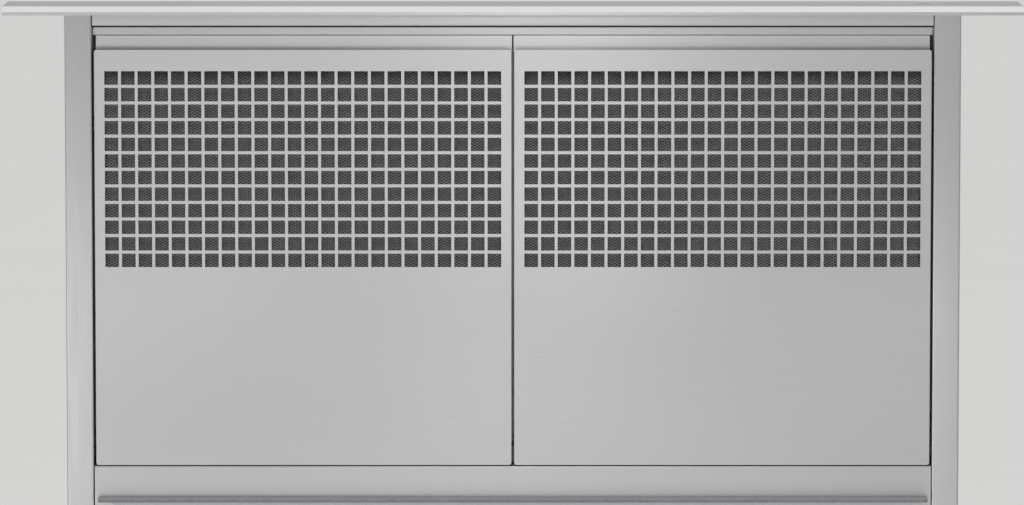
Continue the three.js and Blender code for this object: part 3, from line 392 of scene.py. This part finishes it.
joined_smooth = joined_smooth_group()
BEVEL_MM = 0.25
THIN_BEVEL_MM = 0.12  # on the covers, between whose holes there is little room
BEVEL_STEPS = 2
FLAT_WITHIN = math.radians(0.5)
EDGE_FROM = math.radians(30)


def soften(part, width_mm):
    part.modifiers.new("joined_smooth", "NODES").node_group = joined_smooth
    flat = part.modifiers.new("flat_faces", "DECIMATE")
    flat.decimate_type = "DISSOLVE"
    flat.angle_limit = FLAT_WITHIN
    bevel = part.modifiers.new("soft_edges", "BEVEL")
    bevel.width = width_mm * MM
    bevel.segments = BEVEL_STEPS
    bevel.limit_method = "ANGLE"
    bevel.angle_limit = EDGE_FROM
    bevel.use_clamp_overlap = True
    even = part.modifiers.new("even_normals", "WEIGHTED_NORMAL")
    even.keep_sharp = True


perforated = ("left_cover", "right_cover")
for name, part in frame["nodes"].items():
    soften(part, THIN_BEVEL_MM if name in perforated else BEVEL_MM)
bpy.context.view_layer.update()
print("bevel widths in mm:", BEVEL_MM, "and", THIN_BEVEL_MM, "on the covers")

# %% [markdown]
# ## New pieces
# The pieces below are made point by point and turned into one mesh each. Every one rides on a body of the
# construction, so that it moves with it, and takes one of the finishes above. Where it stands for a node,
# that node is hidden. A face angle above 40 degrees stays a crisp edge, and below it the surface is shaded
# smooth.

# %% Helpers for new pieces
SAME_POINT = 0.002 * MM
CREASE_FROM = math.radians(40)


def new_piece(name, points, faces, material, body, replaced=()):
    mesh = bpy.data.meshes.new(name)
    mesh.from_pydata([tuple(p) for p in points], [], faces)
    shape = bmesh.new()
    shape.from_mesh(mesh)
    bmesh.ops.remove_doubles(shape, verts=shape.verts, dist=SAME_POINT)
    bmesh.ops.recalc_face_normals(shape, faces=shape.faces)
    shape.to_mesh(mesh)
    shape.free()
    mesh.materials.append(material)
    mesh.shade_smooth()
    mesh.set_sharp_from_angle(angle=CREASE_FROM)
    piece = bpy.data.objects.new(name, mesh)
    bpy.context.scene.collection.objects.link(piece)
    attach(piece, body)
    if replaced:
        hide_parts(*replaced)
    print(name + ":", len(mesh.polygons), "faces")
    return piece


def grid_faces(rows, columns, start=0, closed=False):
    across = columns if closed else columns - 1
    return [(start + r * columns + c, start + r * columns + (c + 1) % columns,
             start + (r + 1) * columns + (c + 1) % columns, start + (r + 1) * columns + c)
            for r in range(rows - 1) for c in range(across)]


print("a face angle of", round(math.degrees(CREASE_FROM)), "degrees or more stays crisp")

# %% [markdown]
# ## Expanded metal in the filters
# A grease filter is a stack of expanded aluminium sheets: a sheet is slit in short rows and pulled, so that
# it opens into diamonds, and each strand stands a little on edge. A flat texture can't show the dark gaps
# between the strands, so the front sheet is modelled strand by strand. A strand is a zigzag with a flat,
# tilted section, and its peaks meet the valleys of the next one. The sheets behind it lie in deep shade, so
# one dark crimped pad stands for them. Real diamonds of a fine filter are 3 mm wide, and these are 3.8 mm,
# so that they show.

# %% Expanded sheet
DIAMOND_WIDTH = 3.8 * MM
DIAMOND_HEIGHT = 2.1 * MM
STRAND_WIDTH = 0.56 * MM
STRAND_SHEET = 0.3 * MM
STRAND_TILT = math.radians(35)


def expanded_sheet(low, high, y):
    points, faces = [], []
    steps = int((high.x - low.x) / (DIAMOND_WIDTH / 2))
    rows = int((high.z - low.z) / (DIAMOND_HEIGHT / 2))
    swing = DIAMOND_HEIGHT / 4
    lean = Vector((0, math.sin(STRAND_TILT), math.cos(STRAND_TILT))) * STRAND_WIDTH / 2
    thick = Vector((0, math.cos(STRAND_TILT), -math.sin(STRAND_TILT))) * STRAND_SHEET / 2
    for row in range(rows):
        start = len(points)
        z = low.z + (row + 0.5) * (high.z - low.z) / rows
        for step in range(steps + 1):
            up = swing if (step + row) % 2 else -swing
            middle = Vector((low.x + step * (high.x - low.x) / steps, y, z + up))
            points += [middle - lean - thick, middle + lean - thick,
                       middle + lean + thick, middle - lean + thick]
        faces += grid_faces(steps + 1, 4, start, closed=True)
        last = start + 4 * steps
        faces += [(start, start + 1, start + 2, start + 3), (last + 3, last + 2, last + 1, last)]
    return points, faces


print("diamonds in mm:", DIAMOND_WIDTH / MM, "x", DIAMOND_HEIGHT / MM)

# %% [markdown]
# The pad behind is one closed form with a wavy front. Its section from above is a row of points on a wave
# and two corners at the back, and that section is drawn up from the filter's lower edge to its upper one.

# %% Crimped pad
CRIMP_LENGTH = 7 * MM
CRIMP_HEIGHT = 1.2 * MM
CRIMP_STEPS = 4  # points to a wave


def crimped_pad(low, high):
    waves = round((high.x - low.x) / CRIMP_LENGTH)
    stations = waves * CRIMP_STEPS
    section = []
    for i in range(stations + 1):
        wave = 0.5 - 0.5 * math.cos(2 * math.pi * waves * i / stations)
        section.append((low.x + i * (high.x - low.x) / stations, low.y + CRIMP_HEIGHT * wave))
    ring = section + [(high.x, high.y), (low.x, high.y)]
    points = [(x, y, z) for z in (low.z, high.z) for x, y in ring]
    faces = grid_faces(2, len(ring), closed=True)
    faces += [tuple(range(len(ring)))[::-1], tuple(range(len(ring), 2 * len(ring)))]
    return points, faces


print("waves in mm:", CRIMP_LENGTH / MM, "long and", CRIMP_HEIGHT / MM, "high")

# %% [markdown]
# Both lie inside the space of the construction's plain pad, a little short of the frame that holds them,
# and the crimped pad stands for that node. They ride on their cover, as the filter does when the cover is
# opened.

# %% Filters in the covers
MESH_INSET = 0.3 * MM
PAD_SETBACK = 2.5  # in depths of the strands, from the filter's front to the pad


def inset(low, high, margin):
    return low + margin, high - margin


for side in ("left", "right"):
    low, high = inset(*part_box(side + "_filter_mesh"), Vector((1, 1, 1)) * MESH_INSET)
    strand_depth = STRAND_WIDTH / 2 + STRAND_SHEET
    points, faces = expanded_sheet(low, high, low.y + strand_depth)
    new_piece(side + "_expanded_sheet", points, faces, mesh_aluminium_painted_darker, side + "_cover")
    pad_low = Vector((low.x, low.y + PAD_SETBACK * strand_depth, low.z))
    points, faces = crimped_pad(pad_low, high)
    new_piece(side + "_crimped_pad", points, faces, shaded_aluminium, side + "_cover",
              [side + "_filter_mesh"])

# %% [markdown]
# ## Lead screws
# A lead screw that lifts 20 mm in one turn has several threads side by side, five here, so that each is
# only 4 mm wide. The bar could be cut with a swept profile, but a grid is simpler: every row of points
# climbs by one lead while it goes round, so that the rows are the threads, and their radius alternates
# between crest and root. At both ends the thread stops and the plain journals run in the bearings.

# %% Lead screws
SCREW_LEAD = 20 * MM
SCREW_STARTS = 5
THREAD_DEPTH = 1.1 * MM
ROUND_STEPS = 24
THREAD_PROFILE = (0, 0, 1, 1)  # crest, crest, root, root
PLAIN_END = 3 * MM  # between a pulley or bearing and the thread


def lead_screw(node, thread_from, thread_to):
    low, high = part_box(node)
    x, y, radius = (low.x + high.x) / 2, (low.y + high.y) / 2, (high.x - low.x) / 2
    climb = SCREW_LEAD / SCREW_STARTS / len(THREAD_PROFILE)
    lead_rows = round(SCREW_LEAD / climb)
    rows = int((high.z - low.z) / climb) + lead_rows + 2
    points = []
    for row in range(rows):
        for step in range(ROUND_STEPS + 1):
            turn = 2 * math.pi * step / ROUND_STEPS
            z = low.z + (row - lead_rows) * climb + SCREW_LEAD * step / ROUND_STEPS
            threaded = thread_from < z < thread_to
            cut = THREAD_DEPTH * THREAD_PROFILE[row % len(THREAD_PROFILE)] if threaded else 0
            z = min(max(z, low.z), high.z)
            points.append((x + (radius - cut) * math.cos(turn), y + (radius - cut) * math.sin(turn), z))
    return points, grid_faces(rows, ROUND_STEPS + 1)


def close_ends(piece):
    shape = bmesh.new()
    shape.from_mesh(piece.data)
    bmesh.ops.dissolve_degenerate(shape, edges=shape.edges, dist=SAME_POINT)
    bmesh.ops.holes_fill(shape, edges=[e for e in shape.edges if e.is_boundary])
    bmesh.ops.recalc_face_normals(shape, faces=shape.faces)
    shape.to_mesh(piece.data)
    shape.free()


for side in ("left", "right"):
    thread_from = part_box(side + "_screw_pulley")[1].z + PLAIN_END
    thread_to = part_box(side + "_upper_bearing")[0].z - PLAIN_END
    node = side + "_lift_screw"
    points, faces = lead_screw(node, thread_from, thread_to)
    close_ends(new_piece(side + "_threaded_screw", points, faces, drawn_steel, side + "_screw",
                         [node]))

# %% [markdown]
# ## Toothed belts
# A timing belt is a flat band with teeth moulded on its inner side, 3 mm apart here, which mesh with the
# pulleys. Its path is two straight runs and two half circles, and one function gives the place of any point
# by its distance along that path and by how far it lies outside the belt's middle line.

# %% Path of a belt
def belt_point(along, run, radius, offset):
    arc = math.pi * radius
    if along < run:
        return Vector((along, -radius - offset))
    if along < run + arc:
        turn = (along - run) / radius - math.pi / 2
        return Vector((run + (radius + offset) * math.cos(turn), (radius + offset) * math.sin(turn)))
    if along < 2 * run + arc:
        return Vector((2 * run + arc - along, radius + offset))
    turn = (along - 2 * run - arc) / radius + math.pi / 2
    return Vector(((radius + offset) * math.cos(turn), (radius + offset) * math.sin(turn)))


print("a belt 1 m between its pulleys starts at", belt_point(0, 1, 0.01, 0).to_tuple(2))

# %% [markdown]
# Walking along the path in steps of a quarter of a tooth gives the four stations that a tooth needs: two at
# its top and two in the valley beside it. At each station the belt's section has four corners, and the
# corners of neighbouring stations are joined by faces.

# %% Toothed belts
TOOTH_PITCH = 3 * MM
TOOTH_HEIGHT = 0.55 * MM
TOOTH_STATIONS = 4  # two on the tooth, two in the valley
BELT_THICKNESS = 1.2 * MM


def toothed_belt(node, start_pulley, end_pulley):
    low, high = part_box(node)
    centres = []
    for pulley in (start_pulley, end_pulley):
        pulley_low, pulley_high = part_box(pulley)
        centres.append(((pulley_low + pulley_high) / 2).xy)
    outer = min(high.x - centres[1].x, centres[0].x - low.x)
    half = BELT_THICKNESS / 2
    radius = outer - half
    run = (centres[1] - centres[0]).length
    direction = (centres[1] - centres[0]).normalized()
    across = Vector((-direction.y, direction.x))
    length = 2 * run + 2 * math.pi * radius
    teeth = round(length / TOOTH_PITCH)
    stations = TOOTH_STATIONS * teeth
    points = []
    for station in range(stations):
        along = length * station / stations
        inner = -half + (TOOTH_HEIGHT if station % TOOTH_STATIONS > 1 else 0)
        for offset, z in ((inner, low.z), (inner, high.z), (half, high.z), (half, low.z)):
            flat = belt_point(along, run, radius, offset)
            place = centres[0] + direction * flat.x + across * flat.y
            points.append((place.x, place.y, z))
    faces = grid_faces(stations, 4, closed=True)
    last = 4 * (stations - 1)
    faces += [(last + i, last + (i + 1) % 4, (i + 1) % 4, i) for i in range(4)]
    print(node, "has", teeth, "teeth")
    return points, faces


for node, start_pulley, end_pulley in (("sync_belt", "left_screw_pulley", "right_screw_pulley"),
                                       ("drive_belt", "motor_pulley", "right_screw_pulley")):
    points, faces = toothed_belt(node, start_pulley, end_pulley)
    new_piece(node + "_toothed", points, faces, belt_rubber, "chassis", [node])

# %% [markdown]
# ## Push buttons
# Each button is a small moulded cap whose top is dished for a fingertip and whose rim is rounded. Both are
# turned shapes: a profile of radius and height goes round the axis as a stack of rings, and the first and
# the last ring are closed with one face each.

# %% Push buttons
DISH_DEPTH = 0.5 * MM
DISH_SHARES = (1, 0.8, 0.6, 0.4, 0.2, 0.05)  # of its radius, from the rim inwards
RIM_WIDTH = 0.6 * MM
RIM_ANGLES = (math.pi / 6, math.pi / 3, math.pi / 2)
BUTTON_SIDES = 32


def stacked(rings):
    sides = len(rings[0])
    points = [p for ring in rings for p in ring]
    last = sides * (len(rings) - 1)
    faces = grid_faces(len(rings), sides, closed=True)
    return points, faces + [tuple(range(sides))[::-1], tuple(range(last, last + sides))]


for name in ("fan_button", "lift_button"):
    low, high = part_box(name)
    x, y, radius = (low.x + high.x) / 2, (low.y + high.y) / 2, (high.x - low.x) / 2
    fillet = RIM_WIDTH / 2
    dish = radius - RIM_WIDTH
    profile = [(radius, low.z), (radius, high.z - fillet)]
    profile += [(radius - fillet * (1 - math.cos(a)), high.z - fillet * (1 - math.sin(a)))
                for a in RIM_ANGLES]
    profile += [(dish * share, high.z - DISH_DEPTH * (1 - share ** 2)) for share in DISH_SHARES]
    turns = [2 * math.pi * i / BUTTON_SIDES for i in range(BUTTON_SIDES)]
    points, faces = stacked([[(x + r * math.cos(a), y + r * math.sin(a), z) for a in turns]
                             for r, z in profile])
    new_piece(name + "_dished", points, faces, silver_lacquer, name, [name])

# %% [markdown]
# ## Screws, bolts and rivets
# Sheet metal is held by many small fasteners, and they give a plain chassis its scale. Three kinds are
# enough: pan-head screws with a hexagon socket on the panels and plates, hexagon bolts with a washer in the
# slots of the floor brackets, and low blind rivets along the column's back, where a high head would rub.
# Each is a short stack of rings round its own axis. A ring is round or a hexagon, and its radius and height
# are given in radii of the head, so that one profile serves every size.

# %% Fastener heads
PAN_HEAD = [("round", 1, -0.05), ("round", 1, 0.25), ("round", 0.86, 0.48), ("round", 0.6, 0.6),
            ("hexagon", 0.45, 0.6), ("hexagon", 0.42, 0.25)]
BLIND_RIVET = [("round", 1, -0.05), ("round", 0.93, 0.15), ("round", 0.6, 0.32),
               ("round", 0.32, 0.36), ("round", 0.28, 0.2)]
HEXAGON_BOLT = [("round", 1.35, -0.02), ("round", 1.35, 0.26),
                ("hexagon", 1.02, 0.26), ("hexagon", 1.02, 0.85), ("hexagon", 0.88, 0.95)]


def head(profile, radius_mm, sides=18):
    rings = []
    for outline, radius, height in profile:
        ring = []
        for i in range(sides):
            a = 2 * math.pi * i / sides
            reach = radius * radius_mm * MM
            if outline == "hexagon":
                reach *= math.cos(math.pi / 6) / math.cos(a % (math.pi / 3) - math.pi / 6)
            ring.append(Vector((reach * math.cos(a), reach * math.sin(a), height * radius_mm * MM)))
        rings.append(ring)
    return stacked(rings)


print("rings in a pan head, a rivet and a bolt:", len(PAN_HEAD), len(BLIND_RIVET), len(HEXAGON_BOLT))

# %% [markdown]
# A head is copied to its places and turned to face outwards, and all heads of one body become one mesh,
# which is quicker to move and to render than forty.

# %% Sets of fasteners
def fastener_set(name, body, groups):
    points, faces = [], []
    for (head_points, head_faces), outward, places in groups:
        turn = Vector((0, 0, 1)).rotation_difference(Vector(outward))
        for place in places:
            start = len(points)
            points += [turn @ p + Vector(place) for p in head_points]
            faces += [tuple(start + i for i in face) for face in head_faces]
    new_piece(name, points, faces, zinc_plated, body)


# %% [markdown]
# Each place is worked out from the boxes of the pieces that the screw holds, so that it stays on them. The
# chassis's panels are screwed to the lips of its two side channels, in front and behind, and two screws
# hold the lift motor's bracket on the back panel.

# %% Places on the panels
SEAM = 0.3 * MM  # between pieces that are screwed face to face
SHEET = 1.2 * MM
LIP_MIDDLE = 6 * MM  # from a side channel's outer face to the middle of its lips
PANEL_SHARES = (0.03, 0.27, 0.5, 0.73, 0.97)  # of the chassis's height
side_low, side_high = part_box("right_chassis_side")
panel_front = side_low.y - SEAM - SHEET
panel_back = side_high.y + SEAM + SHEET
lip_xs = (LIP_MIDDLE - side_high.x, side_high.x - LIP_MIDDLE)
panel_rows = [side_low.z + (side_high.z - side_low.z) * share for share in PANEL_SHARES]
panel_places = [(x, z) for x in lip_xs for z in panel_rows]

BRACKET_MARGIN = 8 * MM
BRACKET_DROP = 15 * MM  # from the motor bracket's upper edge to its screws
bracket_low, bracket_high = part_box("motor_bracket")
bracket_places = [(x, panel_back, bracket_high.z - BRACKET_DROP)
                  for x in inset(bracket_low.x, bracket_high.x, BRACKET_MARGIN)]
print("screws in front and behind:", len(panel_places), len(panel_places) + len(bracket_places))

# %% [markdown]
# The blower's motor has four screws on a circle, and the duct collar's flange and the control box's lid
# have one in each corner. Two bolts go through the slots of each floor bracket, which lets the chassis be
# set to the counter's height before they are tightened.

# %% Places on the blower, the box and the brackets
MOTOR_FLANGE = 3 * MM
MOTOR_CIRCLE = 46 * MM  # radius on which the blower motor's screws lie
plate_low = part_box("blower_front_plate")[0]
wheel_low, wheel_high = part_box("blower_wheel")
wheel_middle = (wheel_low + wheel_high) / 2
motor_flange_y = plate_low.y - SEAM - MOTOR_FLANGE
motor_circle = [(wheel_middle.x + MOTOR_CIRCLE * math.cos(a), motor_flange_y,
                 wheel_middle.z + MOTOR_CIRCLE * math.sin(a))
                for a in (math.pi / 4, 3 * math.pi / 4, 5 * math.pi / 4, 7 * math.pi / 4)]

COLLAR_MARGIN = 9 * MM
collar_low, collar_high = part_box("duct_collar")
collar_corners = [(collar_high.x - SHEET, y, z)
                  for y in inset(collar_low.y, collar_high.y, COLLAR_MARGIN)
                  for z in inset(collar_low.z, collar_high.z, COLLAR_MARGIN)]

LID_MARGIN = 7 * MM
lid_low, lid_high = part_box("control_box_lid")
lid_corners = [(x, lid_low.y, z) for x in inset(lid_low.x, lid_high.x, LID_MARGIN)
               for z in inset(lid_low.z, lid_high.z, LID_MARGIN)]

BOLT_RISE = 47 * MM  # above the underside of the chassis, in the middle of the brackets' slots
BOLT_SPACING = 24 * MM
leg_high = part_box("right_floor_bracket")[1]
column_middle = (side_low.y + side_high.y) / 2
bolt_z = side_low.z + BOLT_RISE
bolt_ys = (column_middle - BOLT_SPACING / 2, column_middle + BOLT_SPACING / 2)
print("screws on motor, collar and lid:", len(motor_circle), len(collar_corners), len(lid_corners))

# %% Screws of the chassis
PANEL_SCREW_MM, PLATE_SCREW_MM, BOLT_MM = 3.6, 3, 5  # radii of the heads
fastener_set("chassis_fasteners", "chassis", [
    (head(PAN_HEAD, PANEL_SCREW_MM), (0, -1, 0), [(x, panel_front, z) for x, z in panel_places]),
    (head(PAN_HEAD, PANEL_SCREW_MM), (0, 1, 0),
     [(x, panel_back, z) for x, z in panel_places] + bracket_places),
    (head(PAN_HEAD, PLATE_SCREW_MM), (0, -1, 0), motor_circle + lid_corners),
    (head(PAN_HEAD, PLATE_SCREW_MM), (-1, 0, 0), collar_corners),
    (head(HEXAGON_BOLT, BOLT_MM), (1, 0, 0), [(leg_high.x, y, bolt_z) for y in bolt_ys]),
    (head(HEXAGON_BOLT, BOLT_MM), (-1, 0, 0), [(-leg_high.x, y, bolt_z) for y in bolt_ys]),
])

# %% [markdown]
# The column's back sheet is riveted to the posts, because nobody opens it. The rivets stand in one line up
# each post, evenly spaced.

# %% Rivets of the column
RIVET_MM = 2.6  # radius of the head
RIVET_COUNT = 7  # up each post
RIVET_INSET = 11 * MM  # from the post's outer face
post_low, post_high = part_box("right_post")
rivet_xs = (RIVET_INSET - post_high.x, post_high.x - RIVET_INSET)
rivet_rows = [post_low.z + (post_high.z - post_low.z) * (i + 0.5) / RIVET_COUNT for i in range(RIVET_COUNT)]
fastener_set("column_rivets", "column", [
    (head(BLIND_RIVET, RIVET_MM, sides=16), (0, 1, 0),
     [(x, post_high.y, z) for x in rivet_xs for z in rivet_rows]),
])

# %% [markdown]
# ## Floor and light
# A plain pale floor reaches far enough to fill the view behind the vent. It glows a little, only where it
# is seen or mirrored, so that the background stays paler than the cap. Satin metal shows what lies where
# its surface looks, only blurred, so each tone of the photograph asks for light from its own side. The
# cap's top looks at the far horizon behind, where the sky is dimmed a little. Its bevel looks up, at a
# large soft lamp overhead. The upright faces look at the cook's side. There a broad, low lamp stands at the
# left, because in the photograph they are brightest at the left and below, and its light spreads little, so
# that the floor at its foot stays plain. A small lamp near the middle, a little higher than the cap, gives
# the soft upright streak that the photograph shows in the upper middle of the column.

# %% Floor
FLOOR_GLOW = 0.2
CLOUDS_MM = (400, 400, 400)
floor_material, tree, shader = new_material("painted_floor_matt", "#ecebe8", 0, 0.9)
drive(tree, shader, grain_noise(tree, CLOUDS_MM), tones=("#ebeae7", "#eeedea"))
ray = add_node(tree, "ShaderNodeLightPath")
seen = add_node(tree, "ShaderNodeMath", operation="MAXIMUM",
                links={0: ray.outputs["Is Camera Ray"], 1: ray.outputs["Is Glossy Ray"]})
glow = add_node(tree, "ShaderNodeMath", operation="MULTIPLY", values={1: FLOOR_GLOW},
                links={0: seen.outputs[0]})
shader.inputs["Emission Color"].default_value = linear("#ffffff")
tree.links.new(glow.outputs[0], shader.inputs["Emission Strength"])

FLOOR_RADIUS = 60
FLOOR_SIDES = 96
floor_mesh = bpy.data.meshes.new("floor")
shape = bmesh.new()
bmesh.ops.create_circle(shape, cap_ends=True, segments=FLOOR_SIDES, radius=FLOOR_RADIUS)
shape.to_mesh(floor_mesh)
shape.free()
floor_mesh.materials.append(floor_material)
floor = bpy.data.objects.new("floor", floor_mesh)
bpy.context.scene.collection.objects.link(floor)
print("floor radius in m:", FLOOR_RADIUS)

# %% Sky
SKY_STRENGTH = 0.57
world = bpy.data.worlds.new("studio")
world.use_nodes = True
world.node_tree.nodes["Background"].inputs["Color"].default_value = linear("#f4f4f5")
world.node_tree.nodes["Background"].inputs["Strength"].default_value = SKY_STRENGTH
bpy.context.scene.world = world
print("strength of the sky:", SKY_STRENGTH)

# %% Lamps
def softbox(name, place, size, watts, target, spread=180):
    data = bpy.data.lights.new(name, "AREA")
    data.shape = "RECTANGLE"
    data.size, data.size_y = size
    data.energy = watts
    data.spread = math.radians(spread)
    lamp = bpy.data.objects.new(name, data)
    lamp.location = place
    lamp.rotation_euler = (Vector(place) - Vector(target)).to_track_quat("Z", "Y").to_euler()
    bpy.context.scene.collection.objects.link(lamp)
    print(name, "watts:", watts)


softbox("overhead_softbox", place=(0, -0.6, 3.4), size=(3.2, 3.2), watts=34, target=(0, 0, 0.9))
softbox("front_softbox", place=(-1.15, -3.7, 0.3), size=(4, 0.54), watts=1.9,
        target=(0, cap_low.y, 0.9), spread=60)
softbox("centre_softbox", place=(0.03, -1.2, 1.32), size=(0.12, 0.2), watts=0.15,
        target=(0.02, cap_low.y, 1.0), spread=90)
bpy.context.scene.view_settings.view_transform = "Standard"
